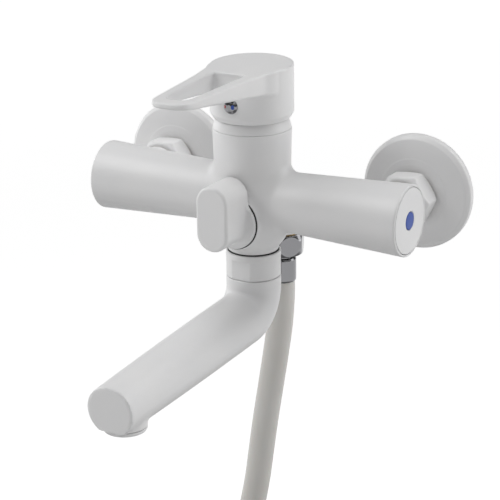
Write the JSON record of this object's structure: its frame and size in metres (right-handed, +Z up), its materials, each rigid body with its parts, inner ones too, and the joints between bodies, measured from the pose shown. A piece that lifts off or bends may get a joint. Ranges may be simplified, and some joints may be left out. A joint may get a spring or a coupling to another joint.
{
  "type": "wall mounted bath mixer tap",
  "caption": "Wall mounted bath and shower mixer with a loop lever, a swivel spout, a turn knob that diverts the water and a shower hose behind the spout.",
  "frame": {"origin": "midway between the two inlets, on the finished wall", "axes": "+Y into the wall, +Z up, +X to the right of someone who faces the wall"},
  "size_m": [0.2132, 0.2121, 0.527],
  "materials": {
    "satin_white": "satin white paint on die cast brass",
    "chrome": "polished chrome plate",
    "brass": "bare machined brass",
    "steel": "plain stainless steel",
    "hose_pvc": "smooth warm grey PVC with a soft sheen",
    "rubber": "black nitrile rubber",
    "ceramic": "ground alumina",
    "grey_plastic": "moulded acetal",
    "index_blue": "blue printed insert",
    "index_red": "red printed insert",
    "strap": "black hook and loop strap"
  },
  "bodies": {
    "mixer": {"mixer_body": "satin_white", "end_cap_left": "satin_white", "end_cap_right": "satin_white", "index_dot_cold": "index_blue", "index_dot_hot": "index_red", "wall_flange_left": "satin_white", "wall_flange_right": "satin_white", "union_nut_left": "satin_white", "union_nut_right": "satin_white", "eccentric_left": "brass", "eccentric_right": "brass", "inlet_collar_left": "brass", "inlet_collar_right": "brass", "inlet_washer_left": "rubber", "inlet_washer_right": "rubber", "cartridge_housing": "grey_plastic", "cartridge_fixed_disc": "ceramic", "cartridge_seal": "rubber", "cartridge_nut": "brass", "trim_ring": "satin_white", "diverter_bonnet": "brass", "spout_nipple": "brass", "spout_nut": "satin_white", "shower_nipple": "brass", "check_valve": "grey_plastic", "hose_washer": "rubber", "hose_nut": "chrome", "hose_ferrule": "chrome", "hose": "hose_pvc", "hose_coil": "hose_pvc", "hose_tail": "hose_pvc", "hose_tie": "strap", "hose_end_ferrule": "chrome", "hose_end_nut": "chrome", "hose_end_washer": "rubber"},
    "cartridge_rotor": {"cartridge_carrier": "grey_plastic", "pivot_pin": "steel"},
    "moving_disc": {"cartridge_moving_disc": "ceramic"},
    "lever_arm": {"cartridge_stem": "brass", "lever": "satin_white", "lever_screw": "steel", "temperature_button": "chrome"},
    "diverter": {"diverter_knob": "satin_white", "diverter_stem": "brass", "diverter_cam": "brass", "knob_screw": "steel", "diverter_o_ring": "rubber"},
    "spout_arm": {"spout": "satin_white", "spout_o_ring_lower": "rubber", "spout_o_ring_upper": "rubber", "spout_snap_ring": "steel", "aerator_housing": "satin_white", "aerator_insert": "grey_plastic", "aerator_washer": "rubber"}
  },
  "joints": [
    {"name": "lever_turn", "type": "hinge", "parent": "mixer", "child": "cartridge_rotor", "pos_m": [0, -0.05, 0.03], "axis": [0, 0, 1], "range_deg": [-50, 50]},
    {"name": "lever_tilt", "type": "hinge", "parent": "cartridge_rotor", "child": "lever_arm", "pos_m": [0, -0.05, 0.03], "axis": [-1, 0, 0], "range_deg": [0, 15]},
    {"name": "disc_slide", "type": "slide", "parent": "cartridge_rotor", "child": "moving_disc", "axis": [0, -1, 0], "range_m": [0, 0.004]},
    {"name": "diverter_turn", "type": "hinge", "parent": "mixer", "child": "diverter", "pos_m": [0, -0.071, -0.0087], "axis": [0, 1, 0], "range_deg": [0, 90]},
    {"name": "spout_swivel", "type": "hinge", "parent": "mixer", "child": "spout_arm", "pos_m": [0, -0.05, -0.0436], "axis": [0, 0, 1], "range_deg": [-90, 90]}
  ],
  "couplings": [
    {"joint": "disc_slide", "follows": "lever_tilt", "m_per_rad": 0.015}
  ]
}
